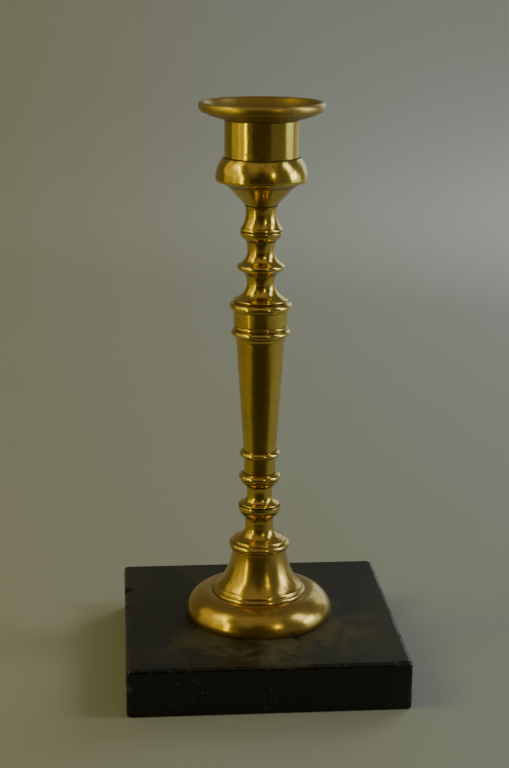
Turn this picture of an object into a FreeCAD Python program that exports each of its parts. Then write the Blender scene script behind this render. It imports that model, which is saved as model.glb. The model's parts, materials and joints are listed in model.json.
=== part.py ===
import FreeCAD, Part
import math
import os

# Turned brass candlestick on a square black stone plinth. Millimetres, +Z up, origin on the
# table under the middle of the plinth. One threaded rod clamps the turned stem pieces and the
# cup down on the plinth; the nozzle (sleeve and drip pan) stands loose in the cup.

# Plinth
plinthSide = 90.0
plinthHeight = 16.0
topArris = 1.4             # round on the top edges
footArris = 0.7            # round on the bottom edges
plinthCorner = 1.6         # round on the four upright edges
plinthHole = 3.0           # radius of the hole for the rod
recessRadius = 9.0         # recess for the nut, in the underside
recessDepth = 8.0

# Heights of the seams between the brass pieces, from the table
footSeam = 39.4
kneeSeam = 54.4
collarSeam = 65.4
shaftSeam = 73.0
headSeam = 111.4
capitalSeam = 119.8
balusterSeam = 122.8
stemSeam = 145.0
cupSeam = 153.2
cupMouth = 168.2
panSeam = 179.7
rimTop = 185.2

# Clamping rod and the spigots that centre one piece on the next
rodRadius = 2.5
rodHole = 2.6
rodBottom = 1.0
rodProud = 0.3             # how far the rod stands out of the nut in the cup
rodEase = 0.4              # chamfer on the rod's ends
spigotRadius = 3.8
spigotLength = 1.5
socketRadius = 3.85
socketDepth = 1.6

# Cup, sleeve and the candle's bore
candleRadius = 10.9
sleeveRadius = 11.75
cupBore = 11.82            # 0.07 mm of clearance round the sleeve
mouthEase = 0.2            # chamfer round the cup's mouth
sleeveSeat = 162.8         # ledge in the cup that the sleeve stands on
sleeveEase = 0.3           # chamfer under the sleeve
sleeveFloor = 1.1          # thickness of the sleeve's closed end
sleeveSpigot = 11.3        # outside radius of the sleeve where the drip pan sits over it
panHole = 11.33            # radius of the hole in the drip pan
dishFloor = 181.2          # lowest height inside the drip pan
dishEase = 0.2             # chamfer round the hole, inside the dish
wellRadius = 8.0
wellFloor = 158.6

# Fixings
cupNutRadius = 5.5
cupNutHeight = 3.0
slotWidth = 1.2
slotDepth = 1.0
nutFlats = 8.0
nutHeight = 4.0
washerHeight = 1.2
washerRadius = 8.0
nutCornerEase = 0.45       # chamfer on the corners of the nut
padHeight = 1.0
padRadius = 8.2

vertical = FreeCAD.Vector(0, 0, 1)


def sectionPoint(radius, height):
    return FreeCAD.Vector(radius, 0, height)


class Outline:
    # Half section of a turned piece, drawn upwards from its lowest outside point.
    def __init__(self, radius, height):
        self.start = sectionPoint(radius, height)
        self.here = self.start
        self.edges = []

    def line(self, radius, height):
        there = sectionPoint(radius, height)
        self.edges.append(Part.LineSegment(self.here, there).toShape())
        self.here = there
        return self

    # Arc to a point; its middle swells out of the straight line by bulge, or hollows it if
    # bulge is negative.
    def curve(self, radius, height, bulge):
        there = sectionPoint(radius, height)
        chord = there - self.here
        outward = FreeCAD.Vector(chord.z, 0, -chord.x).normalize()
        middle = (self.here + there) * 0.5 + outward * bulge
        self.edges.append(Part.Arc(self.here, middle, there).toShape())
        self.here = there
        return self

    # Fine scored line, cut square into an upright stretch.
    def score(self, height, width=0.25, depth=0.2):
        radius = self.here.x
        self.line(radius, height)
        self.line(radius - depth, height + width * 0.2)
        self.line(radius - depth, height + width * 0.8)
        return self.line(radius, height + width)

    # Closes the section on a bore of this radius and spins it into a solid.
    def turned(self, boreRadius=0.0):
        if self.here.x > boreRadius:
            self.line(boreRadius, self.here.z)
        self.line(boreRadius, self.start.z)
        if self.start.x > boreRadius:
            self.line(self.start.x, self.start.z)
        section = Part.Face(Part.Wire(self.edges))
        return section.revolve(FreeCAD.Vector(0, 0, 0), vertical, 360)


def rod(radius, bottom, top):
    return Part.makeCylinder(radius, top - bottom, sectionPoint(0, bottom))


def ring(radius, boreRadius, bottom, top):
    return rod(radius, bottom, top).cut(rod(boreRadius, bottom, top))


# Adds the spigot under a piece that stands on the one below.
def withSpigot(solid, seam):
    bottom = seam - spigotLength
    return solid.fuse(ring(spigotRadius, rodHole, bottom, seam)).removeSplitter()


# Cuts the socket in the top of a piece for the spigot of the one above.
def withSocket(solid, seam):
    return solid.cut(rod(socketRadius, seam - socketDepth, seam))


def stonePlinth():
    half = plinthSide / 2
    block = Part.makeBox(plinthSide, plinthSide, plinthHeight, FreeCAD.Vector(-half, -half, 0))
    upright = [e for e in block.Edges if abs(e.Vertexes[0].Z - e.Vertexes[1].Z) > 1]
    block = block.makeFillet(plinthCorner, upright)
    level = [e for e in block.Edges if e.BoundBox.ZLength < 0.01]
    block = block.makeFillet(topArris, [e for e in level if e.BoundBox.ZMin > plinthHeight / 2])
    level = [e for e in block.Edges if e.BoundBox.ZMax < 0.01]
    block = block.makeFillet(footArris, level)
    block = block.cut(rod(plinthHole, 0, plinthHeight))
    return block.cut(rod(recessRadius, 0, recessDepth))


def bellFoot():
    outside = Outline(24.2, plinthHeight)
    outside.curve(24.6, 17.6, 0.12)
    outside.curve(15.7, 24.2, 2.3)          # dome
    outside.line(15.3, 24.3)
    outside.curve(14.9, 25.2, 0.3)          # lower ring of the step
    outside.line(14.5, 25.3)
    outside.curve(13.9, 26.5, 0.35)         # upper ring, where the bell springs
    outside.curve(11.0, 30.9, -0.25)        # hollow of the bell
    outside.curve(9.05, 38.2, -0.35)
    outside.line(9.05, footSeam)
    foot = outside.turned(rodHole)

    inside = Outline(22.0, plinthHeight)
    inside.curve(13.0, 22.0, 1.9)
    inside.curve(8.3, 30.2, -0.5)
    inside.line(6.5, 35.2)
    return withSocket(foot.cut(inside.turned()), footSeam)


def footKnop():
    outside = Outline(9.2, footSeam)
    outside.curve(9.3, 41.7, 0.9)           # large bead
    outside.line(9.0, 41.8)
    outside.line(9.0, 42.0)
    outside.curve(8.1, 42.8, 0.22)          # shoulder
    outside.curve(4.75, 47.4, -1.15)
    outside.curve(5.0, 50.2, -0.15)         # neck
    outside.line(5.7, 50.9)
    outside.curve(6.9, kneeSeam, 0.65)
    return withSocket(withSpigot(outside.turned(rodHole), footSeam), kneeSeam)


def lowerBaluster():
    outside = Outline(6.65, kneeSeam)
    outside.line(6.75, 54.6)
    outside.curve(6.3, 55.1, 0.12)
    outside.curve(4.2, 57.9, -0.75)
    outside.curve(4.55, 61.0, -0.12)        # neck
    outside.line(5.5, 61.5)
    outside.curve(6.4, 62.9, 0.15)
    outside.line(6.2, 63.0)
    outside.curve(5.7, 65.1, 1.05)          # bead
    outside.line(5.3, collarSeam)
    return withSocket(withSpigot(outside.turned(rodHole), kneeSeam), collarSeam)


def shaftFootCollar():
    outside = Outline(5.2, collarSeam)
    outside.line(5.25, 70.9)
    outside.line(5.55, 70.95)
    outside.curve(5.6, 72.9, 1.2)           # astragal
    outside.line(5.45, shaftSeam)
    return withSocket(withSpigot(outside.turned(rodHole), collarSeam), shaftSeam)


def taperedShaft():
    outside = Outline(5.4, shaftSeam)
    outside.line(7.85, 109.6)
    outside.curve(8.2, 110.9, -0.1)
    outside.line(8.3, headSeam)
    return withSocket(withSpigot(outside.turned(rodHole), shaftSeam), headSeam)


def shaftHeadCollar():
    outside = Outline(8.5, headSeam)
    outside.curve(8.7, 113.5, 0.95)         # bead
    outside.line(8.5, 113.6)
    outside.line(8.5, 113.8)
    outside.line(8.75, 113.85)
    outside.score(114.7)
    outside.line(8.85, capitalSeam)
    return withSocket(withSpigot(outside.turned(rodHole), headSeam), capitalSeam)


def capitalBead():
    outside = Outline(9.1, capitalSeam)
    outside.curve(9.2, 122.4, 0.92)         # main bead
    outside.line(8.6, 122.5)
    outside.line(8.5, balusterSeam)
    return withSocket(withSpigot(outside.turned(rodHole), capitalSeam), balusterSeam)


def upperBaluster():
    outside = Outline(8.7, balusterSeam)
    outside.curve(8.5, 123.5, 0.2)          # thin ring
    outside.curve(4.6, 129.0, -1.3)
    outside.curve(4.9, 131.1, -0.05)
    outside.curve(7.2, 132.7, -0.2)
    outside.curve(7.2, 134.6, 0.5)          # disc
    outside.curve(4.4, 138.6, -0.75)
    outside.curve(4.75, 141.9, -0.1)
    outside.line(5.3, 142.4)
    outside.curve(6.75, stemSeam - 0.15, 0.42)
    outside.line(6.5, stemSeam)
    return withSocket(withSpigot(outside.turned(rodHole), balusterSeam), stemSeam)


def cupStem():
    outside = Outline(6.5, stemSeam)
    outside.line(6.7, 145.15)
    outside.curve(6.3, 146.3, 0.25)
    outside.curve(4.95, 150.6, -0.3)
    outside.line(5.0, 152.2)
    outside.line(5.25, cupSeam)
    return withSocket(withSpigot(outside.turned(rodHole), stemSeam), cupSeam)


def candleCup():
    outside = Outline(5.1, cupSeam)
    outside.line(5.9, 154.1)
    outside.line(10.9, 159.3)
    outside.curve(13.6, 160.5, -0.1)        # underside
    outside.curve(14.6, 161.6, 0.3)         # under edge
    outside.curve(12.35, cupMouth - mouthEase, 0.55)
    outside.line(12.15, cupMouth)
    cup = withSpigot(outside.turned(rodHole), cupSeam)
    cup = cup.cut(rod(wellRadius, wellFloor, sleeveSeat))
    cup = cup.cut(rod(cupBore, sleeveSeat, cupMouth))
    ease = Part.makeCone(cupBore, cupBore + mouthEase, mouthEase, sectionPoint(0, cupMouth - mouthEase))
    return cup.cut(ease)


def candleSleeve():
    outside = Outline(sleeveRadius - sleeveEase, sleeveSeat)
    outside.line(sleeveRadius, sleeveSeat + sleeveEase)
    outside.line(sleeveRadius, panSeam)
    outside.line(sleeveSpigot, panSeam)
    outside.line(sleeveSpigot, dishFloor)
    return outside.turned().cut(rod(candleRadius, sleeveSeat + sleeveFloor, rimTop))


def dripPan():
    outside = Outline(panHole, panSeam)
    outside.line(12.15, panSeam)
    outside.curve(12.8, 180.1, -0.08)
    outside.curve(18.3, 181.9, 0.2)         # underside
    outside.curve(19.8, 184.0, 0.5)         # full round lip
    outside.curve(18.9, rimTop, 0.27)
    outside.curve(17.7, 184.5, 0.16)
    outside.curve(15.4, 182.4, -0.15)       # dish
    outside.line(panHole + dishEase, dishFloor)
    outside.line(panHole, dishFloor - dishEase)
    return outside.turned(panHole)


def cupNut():
    top = wellFloor + cupNutHeight
    nut = ring(cupNutRadius, rodHole, wellFloor, top)
    slot = Part.makeBox(2 * cupNutRadius, slotWidth, slotDepth,
                        FreeCAD.Vector(-cupNutRadius, -slotWidth / 2, top - slotDepth))
    return nut.cut(slot)


def tieRod():
    body = rod(rodRadius, rodBottom, wellFloor + cupNutHeight + rodProud)
    return body.makeChamfer(rodEase, [e for e in body.Edges if e.BoundBox.ZLength < 0.01])


def softWasher():
    return ring(padRadius, rodHole, recessDepth - padHeight, recessDepth)


def flatWasher():
    top = recessDepth - padHeight
    return ring(washerRadius, rodHole, top - washerHeight, top)


def tieNut():
    top = recessDepth - padHeight - washerHeight
    bottom = top - nutHeight
    corner = nutFlats / math.sqrt(3)
    corners = []
    for step in range(7):
        angle = math.radians(60 * step)
        corners.append(FreeCAD.Vector(corner * math.cos(angle), corner * math.sin(angle), bottom))
    hexagon = Part.Face(Part.makePolygon(corners))
    nut = hexagon.extrude(FreeCAD.Vector(0, 0, nutHeight))
    dome = Outline(corner - nutCornerEase, bottom)
    dome.line(corner, bottom + nutCornerEase)
    dome.line(corner, top - nutCornerEase)
    dome.line(corner - nutCornerEase, top)
    return nut.common(dome.turned()).cut(rod(rodHole, bottom, top))


nodes = {
    "stone_plinth": stonePlinth,
    "bell_foot": bellFoot,
    "foot_knop": footKnop,
    "lower_baluster": lowerBaluster,
    "shaft_foot_collar": shaftFootCollar,
    "tapered_shaft": taperedShaft,
    "shaft_head_collar": shaftHeadCollar,
    "capital_bead": capitalBead,
    "upper_baluster": upperBaluster,
    "cup_stem": cupStem,
    "candle_cup": candleCup,
    "cup_nut": cupNut,
    "tie_rod": tieRod,
    "soft_washer": softWasher,
    "flat_washer": flatWasher,
    "tie_nut": tieNut,
    "candle_sleeve": candleSleeve,
    "drip_pan": dripPan,
}

os.makedirs("parts", exist_ok=True)
for name, make in nodes.items():
    solid = make()
    solid.exportStep("parts/" + name + ".step")
    print(name, solid.isValid(), len(solid.Solids), round(solid.Volume, 1))
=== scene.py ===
import json
import math
import random

import bpy
import numpy as np
from mathutils import Matrix, Quaternion, Vector


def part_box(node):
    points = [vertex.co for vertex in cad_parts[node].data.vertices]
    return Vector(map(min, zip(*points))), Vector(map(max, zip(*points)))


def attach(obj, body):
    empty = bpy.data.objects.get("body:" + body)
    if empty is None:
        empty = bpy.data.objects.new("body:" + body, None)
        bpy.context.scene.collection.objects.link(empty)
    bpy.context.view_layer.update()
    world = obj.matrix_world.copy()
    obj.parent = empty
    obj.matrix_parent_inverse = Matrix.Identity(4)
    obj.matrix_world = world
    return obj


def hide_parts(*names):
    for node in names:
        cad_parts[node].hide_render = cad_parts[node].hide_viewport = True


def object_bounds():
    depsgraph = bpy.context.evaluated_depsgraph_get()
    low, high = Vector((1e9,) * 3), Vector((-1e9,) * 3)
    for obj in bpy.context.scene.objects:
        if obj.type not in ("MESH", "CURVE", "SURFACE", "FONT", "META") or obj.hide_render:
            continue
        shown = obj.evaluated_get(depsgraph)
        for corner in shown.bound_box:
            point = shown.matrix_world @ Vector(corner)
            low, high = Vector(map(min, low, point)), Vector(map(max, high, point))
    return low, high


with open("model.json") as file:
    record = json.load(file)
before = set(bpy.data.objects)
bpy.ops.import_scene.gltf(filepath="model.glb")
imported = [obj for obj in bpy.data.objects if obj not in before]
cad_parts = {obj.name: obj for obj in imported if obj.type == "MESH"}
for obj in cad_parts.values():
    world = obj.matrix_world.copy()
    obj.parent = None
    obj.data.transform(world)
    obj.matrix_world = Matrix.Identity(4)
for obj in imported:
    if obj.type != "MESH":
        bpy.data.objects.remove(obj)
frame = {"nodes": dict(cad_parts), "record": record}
cadLow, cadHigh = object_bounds()
mm = 0.001
print("frame loaded, height in mm:", round(cadHigh.z / mm, 1))


# Shader sums and nodes.

class Wire:
    # One shader value; sums written with it become Math nodes.
    def __init__(self, paint, socket):
        self.paint = paint
        self.socket = socket

    def maths(self, operation, *terms):
        return self.paint.node("ShaderNodeMath", {"operation": operation}, dict(enumerate(terms)))

    def __add__(self, other):
        return self.maths("ADD", self, other)

    def __radd__(self, other):
        return self.maths("ADD", other, self)

    def __sub__(self, other):
        return self.maths("SUBTRACT", self, other)

    def __rsub__(self, other):
        return self.maths("SUBTRACT", other, self)

    def __mul__(self, other):
        return self.maths("MULTIPLY", self, other)

    def __rmul__(self, other):
        return self.maths("MULTIPLY", other, self)

    def __truediv__(self, other):
        return self.maths("DIVIDE", self, other)

    def __pow__(self, other):
        return self.maths("POWER", self, other)

    def __abs__(self):
        return self.maths("ABSOLUTE", self)


class Paint:
    # A material under construction: settings holds the values that are the same all over.
    def __init__(self, name, settings):
        self.material = bpy.data.materials.new(name)
        self.material.use_nodes = True
        self.tree = self.material.node_tree
        self.shader = self.tree.nodes["Principled BSDF"]
        for socket, value in settings.items():
            self.shader.inputs[socket].default_value = value

    def join(self, value, socket):
        if isinstance(value, Wire):
            self.tree.links.new(value.socket, socket)
        else:
            socket.default_value = value

    def node(self, kind, settings, inputs, output=0):
        made = self.tree.nodes.new(kind)
        for key, value in settings.items():
            setattr(made, key, value)
        for key, value in inputs.items():
            self.join(value, made.inputs[key])
        return Wire(self, made.outputs[output])

    def place(self):
        return self.node("ShaderNodeTexCoord", {}, {}, "Object")

    def axis(self, vector, letter):
        return self.node("ShaderNodeSeparateXYZ", {}, {"Vector": vector}, letter)

    def vector(self, x, y, z):
        return self.node("ShaderNodeCombineXYZ", {}, {"X": x, "Y": y, "Z": z})

    def noise(self, vector, scale, detail=3.0, roughness=0.5, distortion=0.0):
        inputs = {"Vector": vector, "Scale": scale, "Detail": detail,
                  "Roughness": roughness, "Distortion": distortion}
        return self.node("ShaderNodeTexNoise", {}, inputs, "Fac")

    def spots(self, vector, scale):
        return self.node("ShaderNodeTexVoronoi", {"feature": "F1"},
                         {"Vector": vector, "Scale": scale}, "Distance")

    def distance(self, vector, point):
        return self.node("ShaderNodeVectorMath", {"operation": "DISTANCE"}, {0: vector, 1: point}, "Value")

    # 0 below low, 1 above high, with soft ends; low may be the larger one.
    def mask(self, value, low, high):
        if low > high:
            return 1 - self.mask(value, high, low)
        return self.node("ShaderNodeMapRange", {"interpolation_type": "SMOOTHSTEP"},
                         {"Value": value, "From Min": low, "From Max": high})

    def stored(self, name):
        return self.node("ShaderNodeAttribute", {"attribute_name": name}, {}, "Fac")

    def mix(self, factor, first, second):
        return self.node("ShaderNodeMix", {"data_type": "RGBA"}, {0: factor, 6: first, 7: second}, 2)

    # The height is in mm.
    def bump(self, height):
        return self.node("ShaderNodeBump", {}, {"Height": height, "Distance": mm, "Strength": 1.0})

    def surface(self, color, roughness, normal):
        self.join(color, self.shader.inputs["Base Color"])
        self.join(roughness, self.shader.inputs["Roughness"])
        self.join(normal, self.shader.inputs["Normal"])
        return self.material


def rgb(red, green, blue):
    return (red, green, blue, 1.0)


# "inward" and "round" are how fast the lines change with the radius and round the stem.
latheCut = {"inward": 0.8, "round": 0.7, "detail": 4.0, "roughness": 0.65, "leastSquare": 1e-8}


# Fine lathe lines: they follow the outline up and in, and hardly change round the stem.
def latheLines(paint, place, scale):
    x = paint.axis(place, "X")
    y = paint.axis(place, "Y")
    z = paint.axis(place, "Z")
    radius = (x * x + y * y + latheCut["leastSquare"]) ** 0.5
    along = (z + radius * latheCut["inward"]) * scale
    place = paint.vector(x / radius * latheCut["round"], y / radius * latheCut["round"], along)
    return paint.noise(place, 1.0, latheCut["detail"], latheCut["roughness"])


# Aged brass: a bright lathe finish on the stem, satin on the foot and pan, dirt in the grooves and painted
# shade on the undersides.
# A noise is (repeats per metre, detail, roughness, distortion), a "From" gives the two ends of a mask
# and depths are in mm.
agedBrass = {
    "clean": (0.82, 0.56, 0.10), "dull": (0.62, 0.40, 0.08), "satin": (0.68, 0.415, 0.095),
    "stain": (0.42, 0.27, 0.07), "rubbed": (0.92, 0.68, 0.20), "dirtAndShade": (0.030, 0.021, 0.008),
    "pit": (0.03, 0.02, 0.01),
    "clouds": (55.0, 4.0, 0.6, 0.4), "stains": (240.0, 5.0, 0.65, 0.2), "waves": (380.0, 3.0, 0.55),
    "lineScale": 9000.0, "coarseShare": 0.23, "pitScale": 420.0, "patchShare": 0.31,
    "grimeAndShadeFrom": (0.57, 0.86), "rubbedFrom": (0.44, 0.18), "tarnishFrom": (0.42, 0.68),
    "stainFrom": (0.54, 0.70), "pitFrom": (0.16, 0.04), "patchFrom": (0.56, 0.62),
    "footTop": 50 * mm, "footBlend": 12 * mm, "panBlend": 0.5 * mm,
    "tarnish": 0.5, "satinTint": 0.7, "stained": 0.4, "panDarkening": 0.55, "rubbedTint": 0.4, "grimeAndShade": 0.85,
    "pitted": 0.9,
    "roughness": 0.175, "footRoughness": 0.045, "panRoughness": 0.25, "cloudRoughness": 0.12,
    "lineRoughness": 0.10, "grimeRoughness": 0.22, "stainRoughness": 0.08, "pitRoughness": 0.3,
    "rubbedShine": 0.04,
    "coarseDepth": 1.6, "stainDepth": 0.8, "lineDepth": 0.007, "waveDepth": 0.020, "pitDepth": 0.05,
    "grimeHaze": 0.4, "pitHaze": 0.8, "satinHaze": 0.07,
    "lacquer": 0.25, "lacquerRoughness": 0.05, "lacquerIor": 1.45, "brushed": 0.6, "brushTurn": 0.25,
}


def brassPaint():
    look = agedBrass
    paint = Paint("aged brass", {"Anisotropic": look["brushed"], "Anisotropic Rotation": look["brushTurn"],
                                 "Coat Roughness": look["lacquerRoughness"], "Coat IOR": look["lacquerIor"]})
    place = paint.place()
    z = paint.axis(place, "Z")
    hollow = paint.stored("hollow")
    clouds = paint.noise(place, *look["clouds"])
    stains = paint.noise(place, *look["stains"])
    waves = paint.noise(place, *look["waves"])
    lines = latheLines(paint, place, look["lineScale"])
    coarse = latheLines(paint, place, look["lineScale"] * look["coarseShare"])
    # Dirt in the grooves and seams, plus painted shade on faces that look down.
    grimeAndShade = paint.mask(hollow, *look["grimeAndShadeFrom"])
    rubbed = paint.mask(hollow, *look["rubbedFrom"])
    tarnish = paint.mask(clouds, *look["tarnishFrom"])
    stained = paint.mask(stains, *look["stainFrom"])
    pits = paint.mask(paint.spots(place, look["pitScale"]), *look["pitFrom"])
    patches = paint.noise(place, look["pitScale"] * look["patchShare"], 1.0)
    pits = pits * paint.mask(patches, *look["patchFrom"])
    foot = paint.mask(z, look["footTop"] + look["footBlend"], look["footTop"] - look["footBlend"])
    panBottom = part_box("drip_pan")[0].z
    pan = paint.mask(z, panBottom - look["panBlend"], panBottom + look["panBlend"])
    satin = foot + pan
    color = paint.mix(tarnish * look["tarnish"], rgb(*look["clean"]), rgb(*look["dull"]))
    color = paint.mix(satin * look["satinTint"], color, rgb(*look["satin"]))
    # The whole pan is mixed toward the stain colour, so it is darker all over.
    color = paint.mix(stained * look["stained"] + pan * look["panDarkening"], color, rgb(*look["stain"]))
    color = paint.mix(rubbed * look["rubbedTint"], color, rgb(*look["rubbed"]))
    # Near-black: real dirt in the grooves and seams, and painted shade on faces that look down.
    color = paint.mix(grimeAndShade * look["grimeAndShade"], color, rgb(*look["dirtAndShade"]))
    color = paint.mix(pits * look["pitted"], color, rgb(*look["pit"]))
    rough = look["roughness"] + foot * look["footRoughness"] + pan * look["panRoughness"]
    rough = rough + (clouds - 0.5) * look["cloudRoughness"] + (coarse - 0.5) * look["lineRoughness"]
    rough = rough + grimeAndShade * look["grimeRoughness"] + stained * look["stainRoughness"]
    rough = rough + pits * look["pitRoughness"] - rubbed * look["rubbedShine"]
    height = (lines + coarse * look["coarseDepth"] + stains * look["stainDepth"]) * look["lineDepth"]
    height = height + waves * look["waveDepth"] - pits * look["pitDepth"]
    metal = 1 - grimeAndShade * look["grimeHaze"] - pits * look["pitHaze"] - satin * look["satinHaze"]
    paint.join(metal, paint.shader.inputs["Metallic"])
    paint.join((1 - grimeAndShade) * look["lacquer"], paint.shader.inputs["Coat Weight"])
    return paint.surface(color, rough, paint.bump(height))


castBrass = {"bright": (0.50, 0.35, 0.09), "dull": (0.26, 0.17, 0.05), "metallic": 0.85,
             "sand": (1100.0, 4.0, 0.6), "patches": (180.0, 4.0, 0.6), "dullFrom": (0.42, 0.66),
             "roughness": 0.42, "sandRoughness": 0.16, "dullRoughness": 0.12, "sandDepth": 0.05}


# The nut inside the cup is as it was cast and filed: no polish, no lacquer.
def castPaint():
    look = castBrass
    paint = Paint("cast brass", {"Metallic": look["metallic"]})
    place = paint.place()
    sand = paint.noise(place, *look["sand"])
    dull = paint.mask(paint.noise(place, *look["patches"]), *look["dullFrom"])
    color = paint.mix(dull, rgb(*look["bright"]), rgb(*look["dull"]))
    rough = look["roughness"] + sand * look["sandRoughness"] + dull * look["dullRoughness"]
    return paint.surface(color, rough, paint.bump(sand * look["sandDepth"]))


# Black stone: polished once, now with a dusty film on top, wiped sides, pale specks low on the front, a
# bruise at the left corner and worn edges. The top in front of the foot carries a painted reflection of the
# brass foot, and the paler broken line along the edges is partly wear and partly a painted highlight of the
# arris. Places are in metres, and the wipes are drawn out: "wipeScale" is their repeats per metre along x, y
# and z.
blackStone = {
    "black": (0.0066, 0.0064, 0.0052), "dustAndReflection": (0.17, 0.145, 0.075), "grease": (0.022, 0.020, 0.013),
    "speck": (0.50, 0.49, 0.42), "wornAndSheen": (0.085, 0.085, 0.070), "specular": 0.42, "ior": 1.5,
    "film": (34.0, 6.0, 0.62, 0.9), "smudges": (78.0, 4.0, 0.55, 0.7), "fine": (330.0, 5.0, 0.6, 0.2),
    "wipes": (1.0, 4.0, 0.55, 0.6), "wipeScale": (25.0, 110.0, 60.0), "rare": (75.0, 2.0),
    "grain": (1400.0, 3.0), "speckScale": 620.0,
    "topDepths": (0.8 * mm, 0.1 * mm), "nearFootFrom": (52 * mm, 32 * mm), "frontFrom": (-8 * mm, 10 * mm),
    "frontSlant": 0.5, "fineInDust": 0.22, "dustFrom": (0.50, 0.85), "dustShare": 0.45, "leastDust": 0.03,
    "fineInFootReflection": 0.12, "footReflectionFrom": (0.46, 0.64), "footReflectionShare": 0.8, "filmAmount": 0.7,
    "wipeFrom": (0.55, 0.80), "wipeShare": 0.12, "greaseShare": 0.5,
    "rareFrom": (0.60, 0.68), "rareShare": 0.7, "speckFrom": (0.15, 0.08), "speckBreaks": (0.37, 0.45),
    "speckPlace": (-24 * mm, -45 * mm, 5 * mm), "speckReach": (11 * mm, 6 * mm), "speckShare": 0.8,
    "bruisePlace": (-44.3 * mm, -44.3 * mm, 9.7 * mm), "bruiseReach": (1.9 * mm, 1.0 * mm),
    "edgeSides": (1.7 * mm, 1.1 * mm), "edgeTop": (1.5 * mm, 1.0 * mm), "smudgeInNibble": 0.5,
    "nibbleFrom": (0.76, 0.90), "nibbleShare": 0.35, "bruiseShare": 0.8,
    "roughness": 0.32, "filmRoughness": 0.5, "fineRoughness": 0.12, "nibbleRoughness": 0.2,
    "edgeShine": 0.16, "smudgeRoughness": 0.12, "fineDepth": 0.010, "speckDepth": 0.02, "grainDepth": 0.004,
}


# A mask that rises from the first to the second depth inside a face at the given level.
def depthMask(paint, value, level, depths):
    return paint.mask(value, level - depths[0], level - depths[1])


def stonePaint():
    look = blackStone
    paint = Paint("black stone", {"Specular IOR Level": look["specular"], "IOR": look["ior"]})
    place = paint.place()
    x = paint.axis(place, "X")
    y = paint.axis(place, "Y")
    z = paint.axis(place, "Z")
    low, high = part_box("stone_plinth")
    radius = (x * x + y * y) ** 0.5
    upward = depthMask(paint, z, high.z, look["topDepths"])
    film = paint.noise(place, *look["film"])
    smudges = paint.noise(place, *look["smudges"])
    fine = paint.noise(place, *look["fine"])
    drawn = [letter * scale for letter, scale in zip((x, y, z), look["wipeScale"])]
    wipes = paint.noise(paint.vector(*drawn), *look["wipes"])

    # Painted reflection of the brass foot: paler smudge-shaped patches on the top, near the foot and in
    # front of it.
    footReflectionArea = paint.mask(radius, *look["nearFootFrom"])
    footReflectionArea = footReflectionArea * paint.mask(x * look["frontSlant"] - y, *look["frontFrom"])
    dustAndReflection = paint.mask(film + fine * look["fineInDust"], *look["dustFrom"]) * look["dustShare"]
    footReflectionSmudges = paint.mask(smudges + fine * look["fineInFootReflection"], *look["footReflectionFrom"])
    dustAndReflection = dustAndReflection + look["leastDust"] + footReflectionSmudges * footReflectionArea * look["footReflectionShare"]
    sides = paint.mask(wipes, *look["wipeFrom"]) * look["wipeShare"]
    film = dustAndReflection * upward * look["filmAmount"] + (1 - upward) * sides

    rare = paint.mask(paint.noise(place, *look["rare"]), *look["rareFrom"]) * look["rareShare"]
    crowded = paint.mask(paint.distance(place, look["speckPlace"]), *look["speckReach"])
    specks = paint.mask(paint.spots(place, look["speckScale"]), *look["speckFrom"])
    specks = specks * (rare + crowded) * paint.mask(fine, *look["speckBreaks"])
    bruised = paint.mask(paint.distance(place, look["bruisePlace"]), *look["bruiseReach"])
    edgeX = depthMask(paint, abs(x), high.x, look["edgeSides"])
    edgeY = depthMask(paint, abs(y), high.y, look["edgeSides"])
    edgeZ = depthMask(paint, z, high.z, look["edgeTop"])
    edge = edgeX * edgeY + edgeX * edgeZ + edgeY * edgeZ
    # Paler broken line along the edges: partly wear, partly a painted highlight of the arris.
    nibbledAndSheen = edge * paint.mask(fine + smudges * look["smudgeInNibble"], *look["nibbleFrom"])

    color = paint.mix(wipes * look["greaseShare"], rgb(*look["black"]), rgb(*look["grease"]))
    # The dust colour is real dust on the top and also the painted reflection of the foot.
    color = paint.mix(film, color, rgb(*look["dustAndReflection"]))
    # The paler colour on the edges is wear plus a painted arris highlight; on the bruise it is wear.
    wornAndSheen = nibbledAndSheen * look["nibbleShare"] + bruised * look["bruiseShare"]
    color = paint.mix(wornAndSheen, color, rgb(*look["wornAndSheen"]))
    color = paint.mix(specks * look["speckShare"], color, rgb(*look["speck"]))
    rough = look["roughness"] + film * look["filmRoughness"] + fine * look["fineRoughness"]
    rough = rough + nibbledAndSheen * look["nibbleRoughness"] - edge * look["edgeShine"]
    rough = rough + (smudges - 0.5) * look["smudgeRoughness"]
    height = fine * look["fineDepth"] + specks * look["speckDepth"]
    height = height + paint.noise(place, *look["grain"]) * look["grainDepth"]
    return paint.surface(color, rough, paint.bump(height))


chippedStone = {"dark": (0.004, 0.004, 0.0035), "pale": (0.035, 0.033, 0.027), "specular": 0.45,
                "grain": (900.0, 5.0, 0.7), "shells": (420.0, 2.0, 0.5, 0.8), "contrast": 1.4,
                "roughness": 0.50, "grainRoughness": 0.25, "grainDepth": 0.03, "shellDepth": 0.14}


def chippedPaint():
    look = chippedStone
    paint = Paint("chipped stone", {"Specular IOR Level": look["specular"]})
    place = paint.place()
    grain = paint.noise(place, *look["grain"])
    shells = paint.noise(place, *look["shells"])
    color = paint.mix(grain * shells * look["contrast"], rgb(*look["dark"]), rgb(*look["pale"]))
    height = grain * look["grainDepth"] + shells * look["shellDepth"]
    return paint.surface(color, look["roughness"] + grain * look["grainRoughness"], paint.bump(height))


dullSteel = {"bare": (0.36, 0.35, 0.33), "rust": (0.13, 0.07, 0.035), "patches": (260.0, 5.0, 0.65),
             "rustFrom": (0.5, 0.68), "rusted": 0.7, "grain": (1500.0, 3.0), "threadPitch": 0.8 * mm,
             "roughness": 0.38, "rustRoughness": 0.35, "grainRoughness": 0.08, "threadDepth": 0.05,
             "grainDepth": 0.02}


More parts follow.
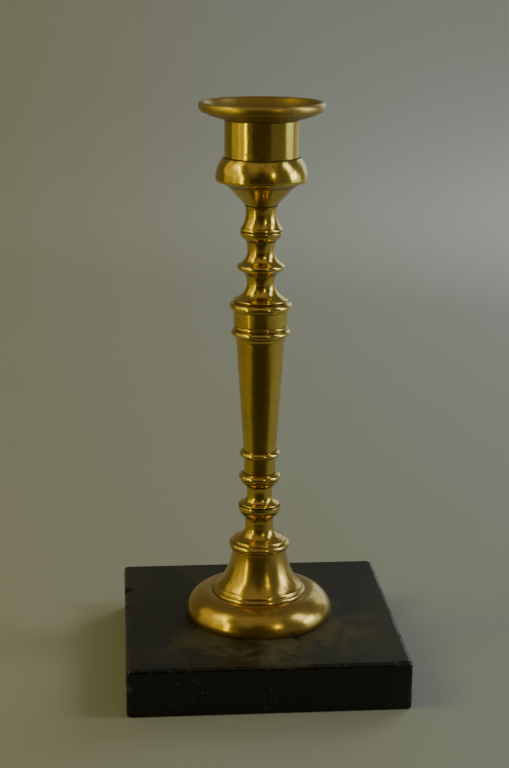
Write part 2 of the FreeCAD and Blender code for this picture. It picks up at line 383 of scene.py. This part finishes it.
def steelPaint():
    look = dullSteel
    paint = Paint("dull steel", {"Metallic": 1.0})
    place = paint.place()
    rust = paint.mask(paint.noise(place, *look["patches"]), *look["rustFrom"])
    grain = paint.noise(place, *look["grain"])
    turns = paint.axis(place, "Z") * (2 * math.pi / look["threadPitch"])
    thread = paint.node("ShaderNodeMath", {"operation": "SINE"}, {0: turns})
    color = paint.mix(rust * look["rusted"], rgb(*look["bare"]), rgb(*look["rust"]))
    rough = look["roughness"] + rust * look["rustRoughness"] + grain * look["grainRoughness"]
    return paint.surface(color, rough, paint.bump(thread * look["threadDepth"] + grain * look["grainDepth"]))


washerLeather = {"dark": (0.085, 0.045, 0.022), "pale": (0.20, 0.12, 0.06), "specular": 0.3,
                 "grain": (900.0, 4.0, 0.6), "roughness": 0.75, "grainRoughness": 0.15, "grainDepth": 0.12}


def leatherPaint():
    look = washerLeather
    paint = Paint("leather washer", {"Specular IOR Level": look["specular"]})
    grain = paint.noise(paint.place(), *look["grain"])
    color = paint.mix(grain, rgb(*look["dark"]), rgb(*look["pale"]))
    rough = look["roughness"] + grain * look["grainRoughness"]
    return paint.surface(color, rough, paint.bump(grain * look["grainDepth"]))


# Turned brass.

# Outlines in mm: (radius, height above the table), with the bulge of an arc as a third number.
# "start" is the bottom or its spigot, "outside" runs up the face, which wear has softened, and "inside"
# runs back down the bore. Dirt gathers at both ends of the face and at the places in "dirty".
seam = {"foot": 39.4, "knee": 54.4, "collar": 65.4, "shaft": 73.0, "head": 111.4,
        "capital": 119.8, "baluster": 122.8, "stem": 145.0, "cup": 153.2, "mouth": 168.2, "pan": 179.7}
bore = {"rod": 2.6, "spigot": 3.8, "socket": 3.85, "spigotLength": 1.5, "socketDepth": 1.6}


def spigotStart(low):
    bottom = seam[low] - bore["spigotLength"]
    return [(bore["rod"], bottom), (bore["spigot"], bottom), (bore["spigot"], seam[low])]


def socketEnd(high):
    floor = seam[high] - bore["socketDepth"]
    return [(bore["socket"], seam[high]), (bore["socket"], floor), (bore["rod"], floor)]


turnedPieces = {
    "bell_foot": {
        "start": [],
        "softening": 9,
        "outside": [(24.2, 16.0), (24.6, 17.6, 0.12), (15.7, 24.2, 2.3), (15.3, 24.3), (14.9, 25.2, 0.3),
                    (14.5, 25.3), (13.9, 26.5, 0.35), (11.0, 30.9, -0.25), (9.05, 38.2, -0.35),
                    (9.05, seam["foot"])],
        "inside": socketEnd("foot") + [(bore["rod"], 35.2), (6.5, 35.2), (8.3, 30.2), (13.0, 22.0),
                                       (22.0, 16.0)],
    },
    "foot_knop": {
        "start": spigotStart("foot"),
        "outside": [(9.2, seam["foot"]), (9.3, 41.7, 0.9), (9.0, 41.8), (9.0, 42.0), (8.1, 42.8, 0.22),
                    (4.75, 47.4, -1.15), (5.0, 50.2, -0.15), (5.7, 50.9), (6.9, seam["knee"], 0.65)],
        "inside": socketEnd("knee"),
    },
    "lower_baluster": {
        "start": spigotStart("knee"),
        "outside": [(6.65, seam["knee"]), (6.75, 54.6), (6.3, 55.1, 0.12), (4.2, 57.9, -0.75),
                    (4.55, 61.0, -0.12), (5.5, 61.5), (6.4, 62.9, 0.15), (6.2, 63.0), (5.7, 65.1, 1.05),
                    (5.3, seam["collar"])],
        "inside": socketEnd("collar"),
    },
    "shaft_foot_collar": {
        "start": spigotStart("collar"),
        "outside": [(5.2, seam["collar"]), (5.25, 70.9), (5.55, 70.95), (5.6, 72.9, 1.2),
                    (5.45, seam["shaft"])],
        "inside": socketEnd("shaft"),
    },
    "tapered_shaft": {
        "start": spigotStart("shaft"),
        "outside": [(5.4, seam["shaft"]), (7.85, 109.6), (8.2, 110.9, -0.1), (8.3, seam["head"])],
        "inside": socketEnd("head"),
    },
    "shaft_head_collar": {
        "start": spigotStart("head"),
        "outside": [(8.5, seam["head"]), (8.7, 113.5, 0.95), (8.5, 113.6), (8.5, 113.8), (8.75, 113.85),
                    (8.75, 114.7), (8.55, 114.75), (8.55, 114.9), (8.75, 114.95),
                    (8.85, seam["capital"])],
        "inside": socketEnd("capital"),
    },
    "capital_bead": {
        "start": spigotStart("capital"),
        "outside": [(9.1, seam["capital"]), (9.2, 122.4, 0.92), (8.6, 122.5), (8.5, seam["baluster"])],
        "inside": socketEnd("baluster"),
    },
    "upper_baluster": {
        "start": spigotStart("baluster"),
        "outside": [(8.7, seam["baluster"]), (8.5, 123.5, 0.2), (4.6, 129.0, -1.3), (4.9, 131.1, -0.05),
                    (7.2, 132.7, -0.2), (7.2, 134.6, 0.5), (4.4, 138.6, -0.75), (4.75, 141.9, -0.1),
                    (5.3, 142.4), (6.75, seam["stem"] - 0.15, 0.42), (6.5, seam["stem"])],
        "inside": socketEnd("stem"),
    },
    "cup_stem": {
        "start": spigotStart("stem"),
        "outside": [(6.5, seam["stem"]), (6.7, 145.15), (6.3, 146.3, 0.25), (4.95, 150.6, -0.3),
                    (5.0, 152.2), (5.25, seam["cup"])],
        "inside": socketEnd("cup"),
    },
    "candle_cup": {
        "start": spigotStart("cup"),
        "outside": [(5.1, seam["cup"]), (5.9, 154.1), (10.9, 159.3), (13.6, 160.5, -0.1),
                    (14.6, 161.6, 0.3), (12.35, 168.0, 0.55), (12.15, seam["mouth"])],
        "inside": [(12.02, seam["mouth"]), (11.82, 168.0), (11.82, 162.8), (8.0, 162.8), (8.0, 158.6),
                   (bore["rod"], 158.6)],
    },
    "candle_sleeve": {
        "start": [(0.0, 162.8)],
        "outside": [(11.45, 162.8), (11.75, 163.1), (11.75, seam["pan"])],
        "dirty": [(11.75, seam["mouth"])],
        "inside": [(11.3, seam["pan"]), (11.3, 181.2), (10.9, 181.2), (10.9, 172.0), (10.9, 163.9),
                   (0.0, 163.9)],
    },
    "drip_pan": {
        "start": [],
        "outside": [(11.33, seam["pan"]), (12.15, seam["pan"]), (12.8, 180.1, -0.08), (18.3, 181.9, 0.2),
                    (19.8, 184.0, 0.5), (18.9, 185.2, 0.27), (17.7, 184.5, 0.16), (15.4, 182.4, -0.15),
                    (11.53, 181.2), (11.33, 181.0)],
        "inside": [],
    },
}
# Lengths in mm: step is the spacing of an outline's points. There are "steps" faces to a full turn,
# and corners up to "smooth" degrees are shaded round.
lathe = {"steps": 144, "step": 0.2, "softening": 3, "merge": 0.004, "dentSize": 7.0, "dentDepth": 0.07,
         "hollowGain": 6.0, "hollowPasses": 6, "seamDirt": 0.35, "underside": 0.25, "smooth": 50}


def arcPoints(first, last, bulge):
    chord = last - first
    outward = Vector((chord.z, 0, -chord.x)).normalized() * math.copysign(1, bulge)
    sag = abs(bulge)
    radius = (chord.length_squared / 4 + sag * sag) / (2 * sag)
    halfTurn = math.asin(min(1.0, chord.length / 2 / radius))
    count = max(3, math.ceil(2 * halfTurn * radius / lathe["step"]))
    points = []
    for step in range(1, count + 1):
        turn = halfTurn * (2 * step / count - 1)
        across = chord.normalized() * radius * math.sin(turn)
        points.append((first + last) / 2 + across + outward * (radius * math.cos(turn) - radius + sag))
    return points


def linePoints(first, last):
    count = max(1, math.ceil((last - first).length / lathe["step"]))
    return [first.lerp(last, step / count) for step in range(1, count + 1)]


# Wear has rounded every corner: each point slides toward the middle of its neighbours.
def softened(points, passes):
    for _ in range(passes):
        middles = [(a + b * 2 + c) / 4 for a, b, c in zip(points, points[1:], points[2:])]
        points = [points[0], *middles, points[-1]]
    return points


def drawOutline(piece):
    first = piece["outside"][0]
    outside = [Vector((first[0], 0, first[1]))]
    for step in piece["outside"][1:]:
        last = Vector((step[0], 0, step[1]))
        if len(step) == 3:
            outside += arcPoints(outside[-1], last, step[2])
        else:
            outside += linePoints(outside[-1], last)
    points = [Vector((r, 0, z)) for r, z in piece["start"]]
    points += softened(outside, piece.get("softening", lathe["softening"]))
    points += [Vector((r, 0, z)) for r, z in piece["inside"]]
    if points[0].x > 0:
        points.append(points[0].copy())
    return [point * mm for point in points]


def clearSelection():
    bpy.ops.object.select_all(action="DESELECT")


# A chain of extruded points spun once round the upright axis.
def spinChain(name, points, steps):
    clearSelection()
    bpy.ops.mesh.primitive_plane_add(size=mm)
    piece = bpy.context.object
    piece.name = name
    piece.data.name = name
    bpy.ops.object.mode_set(mode="EDIT")
    bpy.ops.mesh.select_mode(type="VERT")
    bpy.ops.mesh.select_all(action="SELECT")
    bpy.ops.mesh.merge(type="CENTER")
    bpy.ops.transform.translate(value=points[0])
    for here, there in zip(points, points[1:]):
        bpy.ops.mesh.extrude_vertices_move(TRANSFORM_OT_translate={"value": there - here})
    bpy.ops.mesh.select_all(action="SELECT")
    bpy.ops.mesh.spin(steps=steps, angle=2 * math.pi, center=(0, 0, 0), axis=(0, 0, 1))
    bpy.ops.mesh.select_all(action="SELECT")
    bpy.ops.mesh.remove_doubles(threshold=lathe["merge"] * mm)
    bpy.ops.mesh.normals_make_consistent(inside=False)
    bpy.ops.object.mode_set(mode="OBJECT")
    return piece


# Handling has left shallow hollows a few hundredths deep.
def dentSurface(piece):
    clouds = bpy.data.textures.new("dents " + piece.name, "CLOUDS")
    clouds.noise_scale = lathe["dentSize"] * mm
    clouds.noise_depth = 1
    dents = piece.modifiers.new("dents", "DISPLACE")
    dents.texture = clouds
    dents.texture_coords = "LOCAL"
    dents.mid_level = 1.0
    dents.strength = lathe["dentDepth"] * mm
    bpy.ops.object.modifier_apply(modifier=dents.name)


# Stores for each point 1 in a hollow or at a seam, 0 on a ridge and 0.5 where the surface is plain;
# undersides count as a little hollow, and that part is painted shade under things, not dirt.
def markHollows(piece, seams):
    mesh = piece.data
    shortest = 1e-7  # metres; no edge is divided by less
    count = len(mesh.vertices)
    place = np.empty(count * 3)
    normal = np.empty(count * 3)
    ends = np.empty(len(mesh.edges) * 2, dtype=np.int32)
    mesh.vertices.foreach_get("co", place)
    mesh.vertices.foreach_get("normal", normal)
    mesh.edges.foreach_get("vertices", ends)
    place = place.reshape(-1, 3)
    normal = normal.reshape(-1, 3)
    a, b = ends.reshape(-1, 2).T
    toward = place[b] - place[a]
    length = np.maximum(np.linalg.norm(toward, axis=1), shortest)
    valence = np.bincount(a, minlength=count) + np.bincount(b, minlength=count)
    rise = np.bincount(a, (toward * normal[a]).sum(1) / length, count)
    rise += np.bincount(b, -(toward * normal[b]).sum(1) / length, count)
    rise /= valence
    for _ in range(lathe["hollowPasses"]):
        spread = np.bincount(a, rise[b], count) + np.bincount(b, rise[a], count)
        rise = (rise + spread / valence) / 2
    # Faces that look down: painted shade under things.
    under = np.clip(-normal[:, 2], 0, 1)
    level = np.clip(0.5 + lathe["hollowGain"] * rise + lathe["underside"] * under, 0, 1)
    for r, z in seams:
        reach = np.hypot(np.hypot(place[:, 0], place[:, 1]) - r * mm, place[:, 2] - z * mm)
        level = np.maximum(level, 1 - reach / (lathe["seamDirt"] * mm) * 0.5)
    hollow = mesh.attributes.new("hollow", "FLOAT", "POINT")
    hollow.data.foreach_set("value", level.astype(np.float32))


def turnBrass(node, body, material):
    shape = turnedPieces[node]
    piece = spinChain("turned_" + node, drawOutline(shape), lathe["steps"])
    dentSurface(piece)
    ends = [shape["outside"][0][:2], shape["outside"][-1][:2]]
    markHollows(piece, ends + shape.get("dirty", []))
    bpy.ops.object.shade_smooth_by_angle(angle=math.radians(lathe["smooth"]))
    piece.data.materials.append(material)
    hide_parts(node)
    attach(piece, body)
    return piece


brass = brassPaint()
bodies = frame["record"]["behaviour"]["bodies"]
bodyOf = {node: body for body, nodes in bodies.items() for node in nodes}
for node in turnedPieces:
    made = turnBrass(node, bodyOf[node], brass)
    print("turned", node, len(made.data.polygons))


# The stone plinth.

# Lengths in mm, tilt and turn in radians and "smooth" in degrees. A chip's ball stands out from the
# edge by a share of its size, and a chance is a share of the small chips.
plinth = {"corner": 1.6, "topArris": 1.4, "footArris": 0.7, "bevelSteps": 6, "rodHole": 3.0, "recess": 9.0,
          "recessDepth": 8.0, "drillSides": 96, "beyond": 2.0, "smooth": 28,
          "seed": 11, "chips": 18, "chipLow": 0.6, "chipHigh": 1.6, "chipSpan": 0.95, "swapChance": 0.5,
          "upperChance": 0.75, "largeOut": 0.75, "smallOut": 0.62, "chipFlat": 0.55, "chipSwell": 0.5,
          "chipTilt": 0.5, "chipTurn": 3, "grainSize": 0.8, "grainDepth": 0.3}
# Larger chips: (x, y, z) as fractions of the half width and of the height, size in mm.
largeChips = [((0.9, -1, 1), 2.3), ((0.78, -1, 1), 1.7), ((-1, -1, 0.62), 1.7), ((1, -1, 0.3), 1.3),
              ((-0.97, -1, 0.02), 1.6), ((1, 0.35, 1), 2.6), ((-1, 0.5, 1), 2.4), ((0.2, 1, 1), 3.2),
              ((-0.55, -1, 0.0), 1.4), ((1, 1, 0.9), 1.8)]


def addChip(where, size, chance):
    bpy.ops.mesh.primitive_uv_sphere_add(segments=20, ring_count=12, radius=size * mm, location=where)
    chip = bpy.context.object
    flat = plinth["chipFlat"]
    tilt = plinth["chipTilt"]
    chip.scale = (1 + chance.random(), 1 + chance.random(), flat + plinth["chipSwell"] * chance.random())
    chip.rotation_euler = (chance.uniform(-tilt, tilt), chance.uniform(-tilt, tilt),
                           chance.uniform(0, plinth["chipTurn"]))
    return chip


def chipCutter(low, high, chance):
    half = high.x
    height = high.z - low.z
    clearSelection()
    chips = []
    for (fx, fy, fz), size in largeChips:
        where = Vector((fx * half, fy * half, low.z + fz * height))
        outward = Vector((round(fx), round(fy), 1 if fz > 0.5 else -1)).normalized()
        chips.append(addChip(where + outward * size * plinth["largeOut"] * mm, size, chance))
    for _ in range(plinth["chips"]):
        along = chance.uniform(-plinth["chipSpan"], plinth["chipSpan"]) * half
        side = chance.choice([-1, 1]) * half
        swap = chance.random() < plinth["swapChance"]
        upper = chance.random() < plinth["upperChance"]
        size = chance.uniform(plinth["chipLow"], plinth["chipHigh"])
        level = high.z if upper else low.z
        rise = half if upper else -half
        if swap:
            where = Vector((side, along, level))
            outward = Vector((side, 0, rise)).normalized()
        else:
            where = Vector((along, side, level))
            outward = Vector((0, side, rise)).normalized()
        chips.append(addChip(where + outward * size * plinth["smallOut"] * mm, size, chance))
    for chip in chips:
        chip.select_set(True)
    bpy.context.view_layer.objects.active = chips[0]
    bpy.ops.object.join()
    bpy.ops.object.transform_apply(location=True, rotation=True, scale=True)
    roughen = chips[0].modifiers.new("rough", "DISPLACE")
    grain = bpy.data.textures.new("chip grain", "CLOUDS")
    grain.noise_scale = plinth["grainSize"] * mm
    roughen.texture = grain
    roughen.texture_coords = "LOCAL"
    roughen.strength = plinth["grainDepth"] * mm
    bpy.ops.object.modifier_apply(modifier=roughen.name)
    return chips[0]


def cutAway(piece, cutter, takeMaterial):
    clearSelection()
    piece.select_set(True)
    bpy.context.view_layer.objects.active = piece
    cut = piece.modifiers.new("cut", "BOOLEAN")
    cut.object = cutter
    cut.operation = "DIFFERENCE"
    cut.solver = "EXACT"
    cut.use_self = True
    if takeMaterial:
        cut.material_mode = "TRANSFER"
    bpy.ops.object.modifier_apply(modifier=cut.name)
    bpy.data.objects.remove(cutter)


def selectEdges(piece, wanted):
    bpy.ops.object.mode_set(mode="EDIT")
    bpy.ops.mesh.select_mode(type="EDGE")
    bpy.ops.mesh.select_all(action="DESELECT")
    bpy.ops.object.mode_set(mode="OBJECT")
    for edge in piece.data.edges:
        a, b = (piece.data.vertices[i].co for i in edge.vertices)
        edge.select = wanted(a, b)
    bpy.ops.object.mode_set(mode="EDIT")


def makePlinth(stone, chipped):
    low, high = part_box("stone_plinth")
    clearSelection()
    bpy.ops.mesh.primitive_cube_add(size=1, location=(low + high) / 2, scale=high - low)
    block = bpy.context.object
    block.name = "worn_plinth"
    block.data.name = "worn_plinth"
    bpy.ops.object.transform_apply(location=True, rotation=True, scale=True)
    selectEdges(block, lambda a, b: abs(a.z - b.z) > (high.z - low.z) / 2)
    bpy.ops.mesh.bevel(offset=plinth["corner"] * mm, segments=plinth["bevelSteps"], affect="EDGES")
    bpy.ops.object.mode_set(mode="OBJECT")
    for edge, level in (("topArris", high.z), ("footArris", low.z)):
        selectEdges(block, lambda a, b: max(abs(a.z - level), abs(b.z - level)) < 0.01 * mm)
        bpy.ops.mesh.bevel(offset=plinth[edge] * mm, segments=plinth["bevelSteps"], affect="EDGES")
        bpy.ops.object.mode_set(mode="OBJECT")
    block.data.materials.append(stone)
    block.data.materials.append(chipped)
    beyond = plinth["beyond"]
    holes = [(plinth["rodHole"], high.z / mm + beyond), (plinth["recess"], plinth["recessDepth"])]
    for radius, top in holes:
        clearSelection()
        bpy.ops.mesh.primitive_cylinder_add(vertices=plinth["drillSides"], radius=radius * mm,
                                            depth=(top + beyond) * mm,
                                            location=(0, 0, (top - beyond) / 2 * mm))
        drill = bpy.context.object
        bpy.ops.object.transform_apply(location=True, rotation=True, scale=True)
        cutAway(block, drill, False)
    cutter = chipCutter(low, high, random.Random(plinth["seed"]))
    cutter.data.materials.append(chipped)
    cutAway(block, cutter, True)
    bpy.ops.object.shade_smooth_by_angle(angle=math.radians(plinth["smooth"]))
    flatFaces = block.modifiers.new("flat faces", "WEIGHTED_NORMAL")
    flatFaces.keep_sharp = True
    flatFaces.weight = 100
    bpy.ops.object.modifier_apply(modifier=flatFaces.name)
    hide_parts("stone_plinth")
    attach(block, "stand")
    return block


block = makePlinth(stonePaint(), chippedPaint())
print("plinth faces", len(block.data.polygons))


# The fixings keep their frame shapes and get their finishes.

def finishNode(node, material):
    slots = frame["nodes"][node].data.materials
    slots.clear()
    slots.append(material)


steel = steelPaint()
for node in ("tie_rod", "flat_washer", "tie_nut"):
    finishNode(node, steel)
finishNode("soft_washer", leatherPaint())
finishNode("cup_nut", castPaint())
print("fixings finished")


# Stage, light and camera.

# The floor curves up into a wall: (distance out, height) in metres, spun round the object.
# The floor is painted a warmer white on the left and a cooler white on the right: painted warm light and
# painted cool light.
backdrop = {
    "outline": [(0, 0), (0.8, 0), (1.25, 0.02), (1.6, 0.18), (1.8, 0.55), (1.85, 1.1)],
    "steps": 96, "levels": 2,
    "paintedWarmLight": (0.67, 0.64, 0.48), "paintedCoolLight": (0.64, 0.66, 0.67), "changeFrom": (-0.28, 0.28), "wander": 0.1,
    "specular": 0.1, "mottle": (3.0, 2.0), "grain": (900.0, 3.0), "roughness": 0.8, "mottleRoughness": 0.1,
    "grainDepth": 0.03,
}


def makeStage():
    look = backdrop
    floor = spinChain("floor", [Vector((out, 0, up)) for out, up in look["outline"]], look["steps"])
    smooth = floor.modifiers.new("smooth", "SUBSURF")
    smooth.levels = look["levels"]
    smooth.render_levels = look["levels"]
    bpy.ops.object.shade_smooth()
    paint = Paint("pale floor", {"Specular IOR Level": look["specular"]})
    place = paint.place()
    mottled = paint.noise(place, *look["mottle"])
    across = paint.axis(place, "X") + (mottled - 0.5) * look["wander"]
    # Painted light: a warm tint on the left of the floor, a cool tint on the right.
    color = paint.mix(paint.mask(across, *look["changeFrom"]), rgb(*look["paintedWarmLight"]), rgb(*look["paintedCoolLight"]))
    grain = paint.noise(place, *look["grain"])
    rough = look["roughness"] + mottled * look["mottleRoughness"]
    floor.data.materials.append(paint.surface(color, rough, paint.bump(grain * look["grainDepth"])))


# Angles in degrees, the lens in mm and the place in metres.
shot = {"azimuth": 4.763, "pitch": 16.535, "roll": 0.335, "lens": 76.58, "shift": 0.0613,
        "place": (-0.0442, -0.5093, 0.2310)}
# The dim end of the room: (width, height) of upright cards, and a flat one in front of the plinth.
darkCards = {"distance": 0.85, "upright": [(0.95, 0.42), (0.32, 1.2)], "near": 0.10,
             "flatWidth": 0.40, "shade": (0.11, 0.095, 0.06), "paler": 1.3, "mottle": (4.0, 2.0),
             "roughness": 0.95}


# Only reflections see these cards.
def makeDarkCards():
    look = darkCards
    paint = Paint("dark card", {"Specular IOR Level": 0.0})
    mottled = paint.noise(paint.place(), *look["mottle"])
    color = paint.mix(mottled, rgb(*look["shade"]), rgb(*[part * look["paler"] for part in look["shade"]]))
    cloth = paint.surface(color, look["roughness"], paint.bump(mottled))
    turn = Matrix.Rotation(math.radians(-shot["azimuth"]), 4, "Z")
    back = look["distance"]
    upright = Matrix.Rotation(math.pi / 2, 4, "X")
    cards = [((0, -back, height / 2), (width, height), upright) for width, height in look["upright"]]
    deep = back - look["near"]
    cards.append(((0, -(back + look["near"]) / 2, mm), (look["flatWidth"], deep), Matrix()))
    for place, (width, height), tilt in cards:
        clearSelection()
        bpy.ops.mesh.primitive_plane_add(size=1)
        card = bpy.context.object
        card.name = "dark_card"
        card.matrix_world = turn @ Matrix.Translation(place) @ tilt @ Matrix.Diagonal((width, height, 1, 1))
        bpy.ops.object.transform_apply(location=True, rotation=True, scale=True)
        card.data.materials.append(cloth)
        card.visible_camera = False
        card.visible_diffuse = False
        card.visible_shadow = False


# Azimuth is measured round the stem from the camera's side, positive to the right; sizes in metres.
# Glow is the brightness of the panel itself. A panel faces the stem unless it has an aim, and "lean"
# rolls it, in degrees. One that isn't diffuse shows only in reflections; one that isn't glossy never does.
lights = {
    "left strip": {"azimuth": -50, "elevation": 6, "distance": 0.6, "size": (0.05, 0.34), "glow": 5.0,
                   "color": (1.0, 0.95, 0.04), "diffuse": False},
    "left window": {"azimuth": -80, "elevation": 44, "distance": 0.9, "size": (0.26, 0.46), "glow": 1.2,
                    "color": (1.0, 0.95, 0.24)},
    "leaning strip": {"azimuth": -64, "elevation": 34, "distance": 0.8, "size": (0.06, 0.44), "glow": 4.5,
                      "color": (1.0, 0.95, 0.06), "lean": 34},
    "left panel": {"azimuth": -86, "elevation": 6, "distance": 0.8, "size": (0.50, 0.4), "glow": 0.30,
                   "color": (1.0, 0.92, 0.28), "diffuse": False},
    "left glow": {"azimuth": -64, "elevation": 8, "distance": 0.75, "size": (0.26, 0.4), "glow": 0.40,
                  "color": (1.0, 0.92, 0.20), "diffuse": False},
    "left ceiling": {"azimuth": -88, "elevation": 30, "distance": 0.95, "size": (0.9, 0.5), "glow": 0.42,
                     "color": (1.0, 0.92, 0.22), "diffuse": False},
    "right window": {"azimuth": 84, "elevation": 38, "distance": 0.9, "size": (0.22, 0.36), "glow": 3.4,
                     "color": (0.80, 0.94, 1.0)},
    "right pane": {"azimuth": 88, "elevation": 15, "distance": 0.9, "size": (0.30, 0.24), "glow": 5.0,
                   "color": (0.80, 0.94, 1.0), "diffuse": False},
    "right wall": {"azimuth": 95, "elevation": 3, "distance": 0.9, "size": (0.5, 0.36), "glow": 0.95,
                   "color": (0.70, 0.92, 1.0), "diffuse": False},
    "front ceiling": {"azimuth": 0, "elevation": 60, "distance": 0.9, "size": (1.0, 0.8), "glow": 0.13,
                      "color": (1.0, 0.84, 0.50), "diffuse": False},
    "far pane": {"azimuth": 152, "elevation": 14, "distance": 1.2, "size": (0.7, 0.6), "glow": 0.7,
                 "color": (0.72, 0.92, 1.0), "diffuse": False},
    "far window": {"azimuth": 138, "elevation": 22, "distance": 1.2, "size": (0.6, 0.7), "glow": 1.8,
                   "color": (0.92, 1.0, 0.94), "glossy": False},
    "small lamp": {"azimuth": 31, "elevation": 26, "distance": 0.9, "size": (0.05, 0.05), "glow": 40.0,
                   "color": (1.0, 0.90, 0.20), "diffuse": False},
    "right wash": {"azimuth": 140, "elevation": 40, "distance": 1.0, "size": (0.6, 0.6), "glow": 2.3,
                   "color": (0.94, 1.0, 0.90), "aim": (1.0, 1.55, 0.5)},
    "left wash": {"azimuth": -150, "elevation": 45, "distance": 1.0, "size": (0.6, 0.6), "glow": 0.35,
                  "color": (1.0, 0.97, 0.66), "aim": (-0.3, 1.6, 0.2)},
}


def addLights():
    middle = Vector((0, 0, (cadLow.z + cadHigh.z) / 2))
    for name, light in lights.items():
        turn = math.radians(light["azimuth"] - shot["azimuth"])
        lift = math.radians(light["elevation"])
        away = Vector((math.sin(turn) * math.cos(lift), -math.cos(turn) * math.cos(lift), math.sin(lift)))
        lamp = bpy.data.lights.new(name, "AREA")
        lamp.shape = "RECTANGLE"
        lamp.size, lamp.size_y = light["size"]
        lamp.energy = light["glow"] * math.pi * lamp.size * lamp.size_y
        lamp.color = light["color"]
        holder = bpy.data.objects.new(name, lamp)
        holder.location = middle + away * light["distance"]
        facing = holder.location - Vector(light.get("aim", middle))
        leaning = Quaternion((0, 0, 1), math.radians(light.get("lean", 0)))
        holder.rotation_euler = (facing.to_track_quat("Z", "Y") @ leaning).to_euler()
        holder.visible_camera = False
        holder.visible_diffuse = light.get("diffuse", True)
        holder.visible_glossy = light.get("glossy", True)
        bpy.context.scene.collection.objects.link(holder)


def addCamera():
    lens = bpy.data.cameras.new("camera")
    lens.lens = shot["lens"]
    lens.shift_y = shot["shift"]
    camera = bpy.data.objects.new("camera", lens)
    turn = (Matrix.Rotation(math.radians(-shot["azimuth"]), 4, "Z")
            @ Matrix.Rotation(math.radians(90 - shot["pitch"]), 4, "X")
            @ Matrix.Rotation(math.radians(shot["roll"]), 4, "Z"))
    camera.rotation_euler = turn.to_euler()
    camera.location = shot["place"]
    bpy.context.scene.collection.objects.link(camera)
    bpy.context.scene.camera = camera


room = {"color": (1.0, 0.96, 0.80), "strength": 0.114}


def setRoom():
    world = bpy.data.worlds.new("room")
    world.use_nodes = True
    back = world.node_tree.nodes["Background"]
    back.inputs["Color"].default_value = (*room["color"], 1)
    back.inputs["Strength"].default_value = room["strength"]
    bpy.context.scene.world = world


makeStage()
makeDarkCards()
addLights()
addCamera()
setRoom()
print("stage ready, lights:", len(lights))
